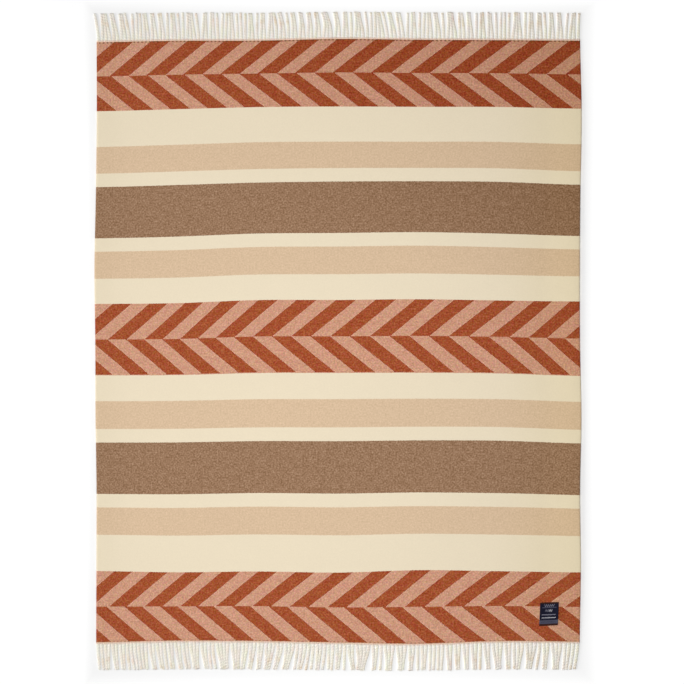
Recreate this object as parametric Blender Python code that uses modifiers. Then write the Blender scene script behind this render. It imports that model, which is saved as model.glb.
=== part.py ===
"""Wool throw blanket, spread out flat: a woven cloth, a fringe at each end and a sewn-on label.

Units are metres and +Z is up. The throw lies on z = 0 with its width along X and its length along Y, and
the origin is under its middle. Left, right, top and bottom are as seen from straight above, +Y upwards.
"""

import math
import random

import bmesh
import bpy

# The cloth without its fringes
CLOTH_WIDTH = 1.300
CLOTH_LENGTH = 1.6174
CLOTH_THICKNESS = 0.003
CELLS_ACROSS = 44
CELLS_ALONG = 28

# How far each hem strays towards +Y, at seven places spaced evenly from left to right
HEM_WANDER_MM = {
    "top": (-5.4, -1.4, -1.0, 3.5, 1.3, 0.2, -1.1),
    "bottom": (-1.4, 3.3, 2.4, -1.6, -4.9, 2.1, 0.8),
}
# How far each selvedge strays towards +X, at nine places spaced evenly from bottom to top
SELVEDGE_WANDER_MM = {
    "left": (0.3, 1.1, 1.6, -1.1, -1.9, -4.0, -0.3, 2.1, 1.6),
    "right": (-1.6, 0.8, -1.6, 2.1, -1.6, -2.1, -0.5, 3.0, -0.5),
}
# How high each selvedge curls off the surface, at the same nine places
SELVEDGE_CURL_MM = {
    "left": (0.0, 1.0, 1.4, 1.0, 0.6, 1.2, 1.5, 1.0, 0.0),
    "right": (0.0, 3.0, 4.2, 3.4, 4.0, 4.6, 3.8, 3.2, 0.0),
}
CURL_REACH = 0.055

# The warp is drawn in a little towards the left: most in the middle of the width, more at the bottom
WARP_DRIFT_TOP = 0.013
WARP_DRIFT_BOTTOM = 0.030

# Low swells where the cloth does not lie quite flat
# place, x, y, turn in degrees, half length, half width, height
SWELLS = (
    ("upper left", -0.36, 0.47, 8, 0.30, 0.11, 0.0022),
    ("upper right", 0.33, 0.22, -6, 0.26, 0.10, 0.0018),
    ("middle", -0.05, -0.21, 4, 0.34, 0.11, 0.0020),
    ("lower left", -0.40, -0.49, -10, 0.22, 0.10, 0.0022),
    ("lower right", 0.28, -0.45, 12, 0.24, 0.11, 0.0016),
)

# The fringes
STRANDS = 122
FRINGE_REACH = 0.0725
HEADER_DEPTH = 0.004
HEADER_THICKNESS = 0.003
STRAND_WIDTH = {"top": 0.0058, "bottom": 0.0061}
STRAND_HEIGHT = 0.0040
TIP_SHARE = 0.75
TIP_PITCH = 0.0054
TIP_SCATTER = 0.0012
TIPS_FOLLOW_HEM = 0.5
LEAN_SCATTER = 0.0030
LEAN_POWER = 1.3
GATHER_BY = 0.85
STRAND_STEPS = 4

# Strands gather in locks, read from left to right a stretch at a time
# strands in each lock, sideways lean of the tips in mm, share of the length that stays upright
TOP_STRETCHES = (
    ("13221", -10, 0.10),
    ("11122", -4, 0.15),
    ("21211", -4, 0.20),
    ("31", -6, 0.10),
    ("221112", 0, 0.10),
    ("1112122", -1, 0.20),
    ("12122", -7, 0.45),
    ("2232", -7, 0.50),
    ("213111", -4, 0.30),
    ("21211", -10, 0.10),
    ("12112", 0, 0.10),
    ("21311", -4, 0.20),
    ("21221", -2, 0.15),
    ("1113122", -1, 0.10),
    ("122", -4, 0.30),
    ("121", 3, 0.10),
)
BOTTOM_STRETCHES = (
    ("11222", 5, 0.15),
    ("111111", 7, 0.20),
    ("22", 7, 0.10),
    ("12211", 9, 0.10),
    ("32", 6, 0.20),
    ("11", 7, 0.30),
    ("4", 8, 0.10),
    ("3", 2, 0.10),
    ("22", -8, 0.15),
    ("23", -6, 0.10),
    ("231111", -11, 0.20),
    ("12111", -4, 0.25),
    ("21", -3, 0.20),
    ("2", 6, 0.30),
    ("42", -6, 0.35),
    ("133", -3, 0.40),
    ("2121111", -3, 0.15),
    ("22221", 0, 0.10),
    ("2321", 2, 0.20),
    ("231", -8, 0.20),
    ("23", -4, 0.25),
    ("1111", -7, 0.10),
)
STRETCHES = {"top": TOP_STRETCHES, "bottom": BOTTOM_STRETCHES}
SEEDS = {"top": 11, "bottom": 12}
OUTWARDS = {"top": 1, "bottom": -1}

# The label, which lies on the cloth near its lower right corner
LABEL_WIDTH = 0.0500
LABEL_LENGTH = 0.0620
LABEL_THICKNESS = 0.0008
LABEL_X = 0.5655
LABEL_Y = -0.7320
LABEL_SKEW = 0.045

# Parts that touch are modelled this far apart
GAP = 0.0003

# name, colour, roughness
FINISHES = {
    "wool cloth": ((0.62, 0.40, 0.27), 0.95),
    "wool fringe": ((0.80, 0.74, 0.62), 0.90),
    "woven label": ((0.020, 0.024, 0.050), 0.55),
}


def clear_scene():
    for obj in list(bpy.data.objects):
        bpy.data.objects.remove(obj)


def make_material(name):
    colour, roughness = FINISHES[name]
    material = bpy.data.materials.new(name)
    material.use_nodes = True
    shader = material.node_tree.nodes["Principled BSDF"]
    shader.inputs["Base Color"].default_value = (*colour, 1.0)
    shader.inputs["Roughness"].default_value = roughness
    shader.inputs["Metallic"].default_value = 0.0
    return material


def through(values, share):
    """A smooth curve through evenly spaced values, read at a share of the way along."""
    last = len(values) - 1
    place = min(max(share, 0.0), 1.0) * last
    start = min(int(place), last - 1)
    before, here, there, after = (
        values[min(max(start + step, 0), last)] for step in (-1, 0, 1, 2)
    )
    t = place - start
    slope_here = (there - before) / 2
    slope_there = (after - here) / 2
    rise = there - here
    return (
        here
        + slope_here * t
        + (3 * rise - 2 * slope_here - slope_there) * t**2
        + (slope_here + slope_there - 2 * rise) * t**3
    )


def smooth_step(share):
    share = min(max(share, 0.0), 1.0)
    return share * share * (3 - 2 * share)


def hem_y(end, x):
    """Y of a hem where it passes a given X."""
    wander = through(HEM_WANDER_MM[end], x / CLOTH_WIDTH + 0.5) / 1000
    return OUTWARDS[end] * CLOTH_LENGTH / 2 + wander


def selvedge_x(side, along):
    """X of a selvedge at a share of the length from the bottom."""
    outwards = 1 if side == "right" else -1
    return outwards * CLOTH_WIDTH / 2 + through(SELVEDGE_WANDER_MM[side], along) / 1000


def warp_x(across, along):
    """X of the warp thread at a share of the width, where it crosses a share of the length."""
    left = selvedge_x("left", along)
    right = selvedge_x("right", along)
    drift = WARP_DRIFT_BOTTOM + (WARP_DRIFT_TOP - WARP_DRIFT_BOTTOM) * along
    return left + (right - left) * across - drift * math.sin(math.pi * across)


def weft_y(x, along):
    """Y of the weft thread at a share of the length, where it passes a given X."""
    bottom = hem_y("bottom", x)
    return bottom + (hem_y("top", x) - bottom) * along


def swell_height(x, y):
    height = 0.0
    for _, centre_x, centre_y, turn, half_length, half_width, top in SWELLS:
        angle = math.radians(turn)
        along = (x - centre_x) * math.cos(angle) + (y - centre_y) * math.sin(angle)
        aside = (y - centre_y) * math.cos(angle) - (x - centre_x) * math.sin(angle)
        inside = 1 - (along / half_length) ** 2 - (aside / half_width) ** 2
        if inside > 0:
            height += top * inside**2
    return height


def curl_height(x, along):
    height = 0.0
    for side in ("left", "right"):
        inset = abs(x - selvedge_x(side, along))
        if inset < CURL_REACH:
            crest = through(SELVEDGE_CURL_MM[side], along) / 1000
            height += crest * (1 - inset / CURL_REACH) ** 2
    return height


def make_cloth():
    """The underside as a sheet, thickened upwards."""
    bpy.ops.mesh.primitive_grid_add(x_subdivisions=CELLS_ACROSS, y_subdivisions=CELLS_ALONG, size=1)
    cloth = bpy.context.object
    for vertex in cloth.data.vertices:
        across = vertex.co.x + 0.5
        along = vertex.co.y + 0.5
        x = warp_x(across, along)
        y = weft_y(x, along)
        vertex.co = (x, y, swell_height(x, y) + curl_height(x, along))
    thickness = cloth.modifiers.new("thickness", "SOLIDIFY")
    thickness.thickness = CLOTH_THICKNESS
    thickness.offset = 1
    return cloth


def strand_route(end, root, tip, lean, upright, cut_error):
    """Points of one strand from root to tip: it closes up on its lock, and then leans."""
    hem = hem_y(end, root)
    start = hem + OUTWARDS[end] * (GAP + HEADER_DEPTH)
    stray = hem - OUTWARDS[end] * CLOTH_LENGTH / 2
    cut = OUTWARDS[end] * (CLOTH_LENGTH / 2 + FRINGE_REACH) + TIPS_FOLLOW_HEM * stray + cut_error
    route = []
    for step in range(STRAND_STEPS + 1):
        share = step / STRAND_STEPS
        closed = (tip - root) * smooth_step(share / GATHER_BY)
        leaned = lean * (max(0.0, share - upright) / (1 - upright)) ** LEAN_POWER
        route.append((root + closed + leaned, start + (cut - start) * share))
    return route


def strand_routes(end):
    """The strands of one fringe from left to right, each a list of (x, y) points."""
    scatter = random.Random(SEEDS[end])
    along = 1.0 if end == "top" else 0.0
    routes = []
    last_tip = -CLOTH_WIDTH
    for locks, lean_mm, upright in STRETCHES[end]:
        for lock in locks:
            strands = int(lock)
            shares = [(len(routes) + k + 0.5) / STRANDS for k in range(strands)]
            roots = [warp_x(share, along) for share in shares]
            first_tip = sum(roots) / strands - (strands - 1) / 2 * TIP_PITCH
            tips = [first_tip + k * TIP_PITCH for k in range(strands)]
            lean = lean_mm / 1000 + scatter.uniform(-LEAN_SCATTER, LEAN_SCATTER)
            lean = max(lean, last_tip + TIP_PITCH - first_tip)
            last_tip = tips[-1] + lean
            for root, tip in zip(roots, tips):
                cut_error = scatter.uniform(-TIP_SCATTER, TIP_SCATTER)
                routes.append(strand_route(end, root, tip, lean, upright, cut_error))
    return routes


def make_header(bm, end, roots):
    """The narrow strip that the strands grow from. Returns its outer faces, left to right."""
    outwards = OUTWARDS[end]
    along = 1.0 if end == "top" else 0.0
    edges = [selvedge_x("left", along)]
    for x in roots:
        edges += [x - STRAND_WIDTH[end] / 2, x + STRAND_WIDTH[end] / 2]
    edges.append(selvedge_x("right", along))
    bmesh.ops.create_grid(bm, x_segments=len(edges) - 1, y_segments=1, size=0.5)
    for number, vertex in enumerate(bm.verts):
        x = edges[number % len(edges)]
        depth = HEADER_DEPTH if vertex.co.y * outwards > 0 else 0.0
        vertex.co = (x, hem_y(end, x) + outwards * (GAP + depth), 0.0)
    raised = bmesh.ops.extrude_face_region(bm, geom=bm.faces[:])["geom"]
    upper = [item for item in raised if isinstance(item, bmesh.types.BMVert)]
    bmesh.ops.translate(bm, verts=upper, vec=(0.0, 0.0, HEADER_THICKNESS))
    bmesh.ops.recalc_face_normals(bm, faces=bm.faces[:])
    outer = [face for face in bm.faces if face.normal.y * outwards > 0.5]
    return sorted(outer, key=lambda face: face.calc_center_median().x)


def draw_strand(bm, face, route, width):
    """Draws one strand of four sides out of its root face, through the points of its route."""
    last = len(route) - 1
    for step in range(1, last + 1):
        behind = route[step - 1]
        ahead = route[min(step + 1, last)]
        angle = math.atan2(ahead[0] - behind[0], abs(ahead[1] - behind[1]))
        half = width / 2 * (1 - (1 - TIP_SHARE) * step / last)
        height = STRAND_HEIGHT * (1 - (1 - TIP_SHARE) * step / last)
        centre = face.calc_center_median()
        outwards = 1 if ahead[1] > behind[1] else -1
        face = bmesh.ops.extrude_discrete_faces(bm, faces=[face])["faces"][0]
        x, y = route[step]
        for corner in face.verts:
            side = 1 if corner.co.x > centre.x else -1
            top = corner.co.z > centre.z
            corner.co = (
                x + side * half * math.cos(angle),
                y - side * outwards * half * math.sin(angle),
                height if top else 0.0,
            )


def make_fringe(end):
    routes = strand_routes(end)
    bm = bmesh.new()
    outer = make_header(bm, end, [route[0][0] for route in routes])
    for face, route in zip(outer[1::2], routes):
        draw_strand(bm, face, route, STRAND_WIDTH[end])
    mesh = bpy.data.meshes.new(f"fringe_{end}")
    bm.to_mesh(mesh)
    bm.free()
    return bpy.data.objects.new(f"fringe_{end}", mesh)


def make_label():
    """A thin plate, skewed a little where it was sewn on out of true."""
    bpy.ops.mesh.primitive_cube_add(size=1)
    label = bpy.context.object
    for vertex in label.data.vertices:
        x = vertex.co.x * LABEL_WIDTH
        y = vertex.co.y * LABEL_LENGTH
        vertex.co = (x + LABEL_SKEW * y, y + LABEL_SKEW * x, vertex.co.z * LABEL_THICKNESS)
    label.location = (LABEL_X, LABEL_Y, CLOTH_THICKNESS + GAP + LABEL_THICKNESS / 2)
    return label


def finish_piece(piece, name, material, collection):
    piece.name = name
    piece.data.name = name
    piece.data.materials.clear()
    piece.data.materials.append(material)
    for home in list(piece.users_collection):
        home.objects.unlink(piece)
    collection.objects.link(piece)


def main():
    clear_scene()
    throw = bpy.data.collections.new("throw blanket")
    bpy.context.scene.collection.children.link(throw)
    wool = make_material("wool cloth")
    yarn = make_material("wool fringe")
    satin = make_material("woven label")
    finish_piece(make_cloth(), "cloth", wool, throw)
    finish_piece(make_fringe("top"), "fringe_top", yarn, throw)
    finish_piece(make_fringe("bottom"), "fringe_bottom", yarn, throw)
    finish_piece(make_label(), "label", satin, throw)


main()
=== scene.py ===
"""Looks of a striped wool throw that lies flat: its weave, colours, fringes, label and light.

Units are metres. The throw lies on z = 0, its width along X and its length along Y. Left, right, top and
bottom are as seen from straight above, with +Y upwards.
"""

import math
import random

import bmesh
import bpy
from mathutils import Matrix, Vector, noise


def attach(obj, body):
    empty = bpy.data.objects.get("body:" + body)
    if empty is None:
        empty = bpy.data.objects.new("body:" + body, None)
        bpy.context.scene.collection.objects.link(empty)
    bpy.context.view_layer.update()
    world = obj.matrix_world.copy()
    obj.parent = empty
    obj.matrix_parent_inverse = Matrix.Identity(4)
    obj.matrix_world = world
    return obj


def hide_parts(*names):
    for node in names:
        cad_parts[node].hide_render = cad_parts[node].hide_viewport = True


# The cloth's outline, as in the model's source
CLOTH_WIDTH = 1.300
CLOTH_LENGTH = 1.6174
CLOTH_THICKNESS = 0.003
HEM_WANDER_MM = {
    "top": (-5.4, -1.4, -1.0, 3.5, 1.3, 0.2, -1.1),
    "bottom": (-1.4, 3.3, 2.4, -1.6, -4.9, 2.1, 0.8),
}
SELVEDGE_WANDER_MM = {
    "left": (0.3, 1.1, 1.6, -1.1, -1.9, -4.0, -0.3, 2.1, 1.6),
    "right": (-1.6, 0.8, -1.6, 2.1, -1.6, -2.1, -0.5, 3.0, -0.5),
}
SELVEDGE_CURL_MM = {
    "left": (0.0, 1.0, 1.4, 1.0, 0.6, 1.2, 1.5, 1.0, 0.0),
    "right": (0.0, 3.0, 4.2, 3.4, 4.0, 4.6, 3.8, 3.2, 0.0),
}
CURL_REACH = 0.100
WARP_DRIFT_TOP = 0.013
WARP_DRIFT_BOTTOM = 0.030
# How far the warp of the middle band has slipped to the right, from the left selvedge to the right one
WARP_SLIP_MM = (0.0, 2.0, -2.0, 0.0, 5.0, 11.0, 11.5, 14.0, 0.0)
# place, x, y, turn in degrees, half length, half width, height
SWELLS = (
    ("upper left", -0.36, 0.47, 8, 0.30, 0.11, 0.0022),
    ("upper right", 0.33, 0.22, -6, 0.26, 0.10, 0.0018),
    ("middle", -0.05, -0.21, 4, 0.34, 0.11, 0.0020),
    ("lower left", -0.40, -0.49, -10, 0.22, 0.10, 0.0022),
    ("lower right", 0.28, -0.45, 12, 0.24, 0.11, 0.0016),
)

# The bands of colour from the top hem to the bottom one
# yarn, height
BANDS = (
    ("herringbone", 0.1826),
    ("cream", 0.0945),
    ("beige", 0.0713),
    ("cream", 0.0361),
    ("brown", 0.1380),
    ("cream", 0.0362),
    ("beige", 0.0737),
    ("cream", 0.0685),
    ("herringbone", 0.1957),
    ("cream", 0.0696),
    ("beige", 0.0751),
    ("cream", 0.0366),
    ("brown", 0.1398),
    ("cream", 0.0366),
    ("beige", 0.0743),
    ("cream", 0.0986),
    ("herringbone", 0.1902),
)
# How far the weft rises at seven places from left to right, at levels measured up from the middle
# level, rises in mm
WEFT_BOW = (
    (-0.8087, (-1.4, 3.3, 2.4, -1.6, -4.9, 2.1, 0.8)),
    (-0.6185, (1.6, -1.9, 0.3, -2.6, 3.9, 1.1, -1.9)),
    (-0.4826, (0.0, -1.7, 1.4, -0.7, 2.8, 0.5, -3.4)),
    (-0.2509, (-3.2, -2.6, 1.0, 1.0, 2.9, 2.1, -5.2)),
    (-0.0879, (-4.1, -3.3, 2.1, 2.4, 2.8, 1.0, -5.7)),
    (0.1078, (-8.0, -5.9, 2.3, 2.6, 4.5, 1.2, -1.5)),
    (0.2681, (-10.5, -6.0, 2.5, 3.9, 6.2, 1.9, -4.6)),
    (0.4422, (-11.2, -5.4, 1.0, 4.2, 4.7, 3.3, -5.0)),
    (0.5788, (-10.7, -4.6, 2.4, 3.2, 2.8, 2.6, -3.2)),
    (0.8087, (-5.4, -1.4, -1.0, 3.5, 1.3, 0.2, -1.1)),
)

# The herringbone: each band has two halves that lean away from its spine
STRIPE_PERIOD = 0.1020
STRIPE_RUN = 0.1175
# Top band first, as shares of a period: where a dark stripe of the upper and of the lower half meets
# the spine, and how wide it is
STRIPE_STARTS = (
    (0.359, 0.847, 0.534),
    (0.353, 0.817, 0.512),
    (0.367, 0.792, 0.506),
)
# the width of a stripe's edge, and the steps that its slope climbs in
STRIPE_EDGE = 0.0034
WEFT_STEP = 0.0026

# The cloth's mesh
CLOTH_CELLS = (178, 222)
# extra rows near its rim, how far in the rim is rounded, and where its upper and under side meet the rim
RIM_INSETS = (0.0007, 0.0018, 0.0034, 0.0060)
RIM_ROUNDING = 0.0042
RIM_TOP_SHARE = 0.42
RIM_FOOT_SHARE = 0.16
# pitch of the unevenness, depth, seed
UNEVENNESS = ((0.110, 0.00022, 3.1), (0.034, 0.00008, 7.7))
# The map that the cloth's colours are baked on for use elsewhere
UPPER_BAKE_SHARE = 0.62
BAKE_MARGIN = 0.004

# The fringes, as in the model's source
STRANDS = 122
FRINGE_REACH = 0.0725
GAP = 0.0003
# how far apart a lock's tips are, how uneven their cut is, and how much of the hem's wander they follow
TIP_PITCH = 0.0054
TIP_SCATTER = 0.0012
TIPS_FOLLOW_HEM = 0.5
# how far a lock's lean strays, how late it sets in, and at what share of the length the lock has closed
LEAN_SCATTER = 0.0030
LEAN_POWER = 1.3
GATHER_BY = 0.85
# strands in each lock, sideways lean of the tips in mm, share of the length that stays upright
TOP_STRETCHES = (
    ("13221", -10, 0.10),
    ("11122", -4, 0.15),
    ("21211", -4, 0.20),
    ("31", -6, 0.10),
    ("221112", 0, 0.10),
    ("1112122", -1, 0.20),
    ("12122", -7, 0.45),
    ("2232", -7, 0.50),
    ("213111", -4, 0.30),
    ("21211", -10, 0.10),
    ("12112", 0, 0.10),
    ("21311", -4, 0.20),
    ("21221", -2, 0.15),
    ("1113122", -1, 0.10),
    ("122", -4, 0.30),
    ("121", 3, 0.10),
)
BOTTOM_STRETCHES = (
    ("11222", 5, 0.15),
    ("111111", 7, 0.20),
    ("22", 7, 0.10),
    ("12211", 9, 0.10),
    ("32", 6, 0.20),
    ("11", 7, 0.30),
    ("4", 8, 0.10),
    ("3", 2, 0.10),
    ("22", -8, 0.15),
    ("23", -6, 0.10),
    ("231111", -11, 0.20),
    ("12111", -4, 0.25),
    ("21", -3, 0.20),
    ("2", 6, 0.30),
    ("42", -6, 0.35),
    ("133", -3, 0.40),
    ("2121111", -3, 0.15),
    ("22221", 0, 0.10),
    ("2321", 2, 0.20),
    ("231", -8, 0.20),
    ("23", -4, 0.25),
    ("1111", -7, 0.10),
)
STRETCHES = {"top": TOP_STRETCHES, "bottom": BOTTOM_STRETCHES}
SEEDS = {"top": 11, "bottom": 12}
OUTWARDS = {"top": 1, "bottom": -1}

# A strand is two plies of yarn twisted together, which this outline follows as it turns
STRAND_RINGS = 52
STRAND_SIDES = 12
STRAND_HALF_WIDTH = {"top": 0.0046, "bottom": 0.0049}
STRAND_HALF_HEIGHT = 0.0014
STRAND_TAPER = 0.22
STRAND_ROOT_DIP = 0.3
STRAND_FLATNESS = 0.80
PLY_WAIST = 0.09
TWIST_PITCH = 0.0150
# share of a turn from where one strand's twist starts to where the next one's does
TWIST_STEP = 0.618
ROOT_FLARE = 1.12
ROOT_FLARE_SHARE = 0.10
TIP_FLARE = 0.10
TIP_FLARE_SHARE = 0.08
TIP_ROUNDING = 0.72
# Loose wool at a strand's cut end. Its spread and heights are shares of the strand's half width and height
FRAYS = 12
FRAY_ROOT = 0.0020
FRAY_SPREAD = 0.75
FRAY_HEIGHTS = (0.5, 1.4)
FRAY_DROOP = 0.7
FRAY_REACH = (0.0008, 0.0036)
FRAY_STRAY = 0.0014
FRAY_THICKNESS = 0.00035
# where around its strand a fray takes its colour from, as a share of a turn
FRAY_AROUND = 0.25

# The strip of raw warp that the strands grow from
HEADER_COLUMNS = 488
HEADER_TUCK = 0.0006
HEADER_REACH = 0.0032
HEADER_SCALLOP = 0.0007
HEADER_TOP = 0.0026
HEADER_FOOT = 0.0003

# The label, as in the model's source, and what is woven and sewn on it
LABEL_WIDTH = 0.0500
LABEL_LENGTH = 0.0620
LABEL_THICKNESS = 0.0008
LABEL_X = 0.5655
LABEL_Y = -0.7320
LABEL_SKEW = 0.045
LABEL_CELLS = (30, 36)
LABEL_FOLD = 0.0050
LABEL_FOLD_RISE = 0.00035
# how high its left and right sides curl up, and over what width
LABEL_CURLS = (0.0004, 0.0016)
LABEL_CURL_REACH = 0.012
STITCHES = 22
STITCH_LENGTH = 0.0050
STITCH_WIDTH = 0.0017
STITCH_HEIGHT = 0.0004
STITCH_INSET = 0.0016
STITCH_BEND = 0.0009

# The photograph's frame: its width in pixels, the size of one, and what its middle looks at
PHOTO_PIXELS = 684
PIXEL_SIZE = 0.0026832
VIEW_X = 0.0102
VIEW_Y = -0.0024
CAMERA_LENS = 110
SENSOR = 36

FLOOR_SIZE = 40.0
FLOOR_DROP = 0.0002


def through(values, share):
    """A smooth curve through evenly spaced values, read at a share of the way along."""
    last = len(values) - 1
    place = min(max(share, 0.0), 1.0) * last
    start = min(int(place), last - 1)
    before, here, there, after = (
        values[min(max(start + step, 0), last)] for step in (-1, 0, 1, 2)
    )
    t = place - start
    slope_here = (there - before) / 2
    slope_there = (after - here) / 2
    rise = there - here
    return (
        here
        + slope_here * t
        + (3 * rise - 2 * slope_here - slope_there) * t**2
        + (slope_here + slope_there - 2 * rise) * t**3
    )


def smooth_step(share):
    share = min(max(share, 0.0), 1.0)
    return share * share * (3 - 2 * share)


def hem_y(end, x):
    wander = through(HEM_WANDER_MM[end], x / CLOTH_WIDTH + 0.5) / 1000
    return OUTWARDS[end] * CLOTH_LENGTH / 2 + wander


def selvedge_x(side, along):
    outwards = 1 if side == "right" else -1
    return outwards * CLOTH_WIDTH / 2 + through(SELVEDGE_WANDER_MM[side], along) / 1000


def warp_x(across, along):
    left = selvedge_x("left", along)
    right = selvedge_x("right", along)
    drift = WARP_DRIFT_BOTTOM + (WARP_DRIFT_TOP - WARP_DRIFT_BOTTOM) * along
    slip = through(WARP_SLIP_MM, across) / 1000 * math.sin(math.pi * along) ** 2
    return left + (right - left) * across - drift * math.sin(math.pi * across) + slip


def weft_y(x, level):
    """Y of the weft thread of a given level, measured up from the middle, where it passes a given X."""
    share = x / CLOTH_WIDTH + 0.5
    row = max(k for k in range(len(WEFT_BOW) - 1) if WEFT_BOW[k][0] <= max(level, WEFT_BOW[0][0]))
    (low, low_rises), (high, high_rises) = WEFT_BOW[row], WEFT_BOW[row + 1]
    up = (level - low) / (high - low)
    return level + (through(low_rises, share) * (1 - up) + through(high_rises, share) * up) / 1000


def swell_height(x, y):
    height = 0.0
    for _, centre_x, centre_y, turn, half_length, half_width, top in SWELLS:
        angle = math.radians(turn)
        along = (x - centre_x) * math.cos(angle) + (y - centre_y) * math.sin(angle)
        aside = (y - centre_y) * math.cos(angle) - (x - centre_x) * math.sin(angle)
        inside = 1 - (along / half_length) ** 2 - (aside / half_width) ** 2
        if inside > 0:
            height += top * inside**2
    return height


def curl_height(x, along):
    height = 0.0
    for side in ("left", "right"):
        inset = abs(x - selvedge_x(side, along))
        crest = through(SELVEDGE_CURL_MM[side], along) / 1000
        height += crest * smooth_step(1 - inset / CURL_REACH)
    return height


def link(name, mesh):
    piece = bpy.data.objects.new(name, mesh)
    bpy.context.scene.collection.objects.link(piece)
    return piece


def grid_stops(size, cells):
    """Places across a length, in metres from its start, closer together at both ends."""
    clear = size - 2 * RIM_INSETS[-1]
    even = [RIM_INSETS[-1] + clear * k / cells for k in range(cells + 1)]
    rim = [0.0, *RIM_INSETS[:-1]]
    return [*rim, *even, *(size - inset for inset in reversed(rim))]


def unevenness(u, v):
    return sum(
        depth * noise.noise(Vector((u / pitch, v / pitch, seed)))
        for pitch, depth, seed in UNEVENNESS
    )


def cloth_point(u, v, upper):
    """A point of the cloth's upper or under side, from its place on the flat cloth."""
    across = u / CLOTH_WIDTH
    along = v / CLOTH_LENGTH
    x = warp_x(across, along)
    y = weft_y(x, v - CLOTH_LENGTH / 2)
    rest = swell_height(x, y) + curl_height(x, along)
    inset = min(u, CLOTH_WIDTH - u, v, CLOTH_LENGTH - v)
    short = max(0.0, 1 - inset / RIM_ROUNDING)
    roundness = math.sqrt(1 - short**2)
    if upper:
        share = RIM_TOP_SHARE + (1 - RIM_TOP_SHARE) * roundness
        return x, y, rest + CLOTH_THICKNESS * share + unevenness(u, v) * roundness
    return x, y, rest + CLOTH_THICKNESS * RIM_FOOT_SHARE * (1 - roundness)


def past_rim(place, size):
    """A place on the cloth's rim moved outwards by the cloth's thickness."""
    return place + CLOTH_THICKNESS * ((place >= size) - (place <= 0))


def bake_place(u, v, upper, on_foot):
    """Where the colours of a place are baked: the upper side and its rim at the left, the underside at the
    right and mirrored, so that the side that shows gets the larger share."""
    if on_foot:
        u, v = past_rim(u, CLOTH_WIDTH), past_rim(v, CLOTH_LENGTH)
    across = (u + CLOTH_THICKNESS) / (CLOTH_WIDTH + 2 * CLOTH_THICKNESS)
    along = (v + CLOTH_THICKNESS) / (CLOTH_LENGTH + 2 * CLOTH_THICKNESS)
    left, right = (0.0, UPPER_BAKE_SHARE) if upper else (1.0, UPPER_BAKE_SHARE)
    gap = math.copysign(BAKE_MARGIN, right - left)
    x = left + gap + (right - left - 2 * gap) * across
    return x, BAKE_MARGIN + (1 - 2 * BAKE_MARGIN) * along


def add_sheet(bm, cells):
    """Adds a square metre of cells, doubled into a closed sheet, and returns the parts of its upper side."""
    bmesh.ops.create_grid(bm, x_segments=cells[0], y_segments=cells[1], size=0.5)
    return set(bmesh.ops.extrude_face_region(bm, geom=bm.faces[:])["geom"])


def make_cloth():
    """The woven cloth as one closed sheet, with its place on the flat cloth kept as a map."""
    stops_u = grid_stops(CLOTH_WIDTH, CLOTH_CELLS[0])
    stops_v = grid_stops(CLOTH_LENGTH, CLOTH_CELLS[1])
    last_u = len(stops_u) - 1
    last_v = len(stops_v) - 1
    bm = bmesh.new()
    raised = add_sheet(bm, (last_u, last_v))
    flat_places = {}
    for vertex in bm.verts:
        u = stops_u[round((vertex.co.x + 0.5) * last_u)]
        v = stops_v[round((vertex.co.y + 0.5) * last_v)]
        flat_places[vertex] = (u, v)
        vertex.co = cloth_point(u, v, vertex in raised)
    weave = bm.loops.layers.uv.new("weave")
    baked = bm.loops.layers.uv.new("OFBake")
    for face in bm.faces:
        face.smooth = True
        upper = any(vertex in raised for vertex in face.verts)
        for loop in face.loops:
            u, v = flat_places[loop.vert]
            loop[weave].uv = (u, v)
            loop[baked].uv = bake_place(u, v, upper, upper and loop.vert not in raised)
    bmesh.ops.recalc_face_normals(bm, faces=bm.faces[:])
    mesh = bpy.data.meshes.new("blanket_cloth")
    bm.to_mesh(mesh)
    bm.free()
    return link("blanket_cloth", mesh)


def strand_routes(end):
    """Root, tip, lean, upright share and cut error of each strand of one fringe, left to right."""
    scatter = random.Random(SEEDS[end])
    along = 1.0 if end == "top" else 0.0
    routes = []
    last_tip = -CLOTH_WIDTH
    for locks, lean_mm, upright in STRETCHES[end]:
        for lock in locks:
            strands = int(lock)
            shares = [(len(routes) + k + 0.5) / STRANDS for k in range(strands)]
            roots = [warp_x(share, along) for share in shares]
            first_tip = sum(roots) / strands - (strands - 1) / 2 * TIP_PITCH
            tips = [first_tip + k * TIP_PITCH for k in range(strands)]
            lean = lean_mm / 1000 + scatter.uniform(-LEAN_SCATTER, LEAN_SCATTER)
            lean = max(lean, last_tip + TIP_PITCH - first_tip)
            last_tip = tips[-1] + lean
            for root, tip in zip(roots, tips):
                cut_error = scatter.uniform(-TIP_SCATTER, TIP_SCATTER)
                routes.append((root, tip, lean, upright, cut_error))
    return routes


def strand_place(end, route, share):
    """Where a strand's middle is, seen from above, at a share of its length."""
    root, tip, lean, upright, cut_error = route
    hem = hem_y(end, root)
    start = hem + OUTWARDS[end] * GAP
    stray = hem - OUTWARDS[end] * CLOTH_LENGTH / 2
    cut = OUTWARDS[end] * (CLOTH_LENGTH / 2 + FRINGE_REACH) + TIPS_FOLLOW_HEM * stray + cut_error
    closed = (tip - root) * smooth_step(share / GATHER_BY)
    leaned = lean * (max(0.0, share - upright) / (1 - upright)) ** LEAN_POWER
    return root + closed + leaned, start + (cut - start) * share


def flattened(value):
    """A sine or cosine that fills out its peaks, for an outline between an oval and a box."""
    return math.copysign(abs(value) ** STRAND_FLATNESS, value)


def strand_swell(share):
    """How much wider a strand is near its root and near its cut end."""
    root = (ROOT_FLARE - 1) * max(0.0, 1 - share / ROOT_FLARE_SHARE) ** 2
    tip = TIP_FLARE * max(0.0, 1 - (1 - share) / TIP_FLARE_SHARE)
    return 1 + root + tip


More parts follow.
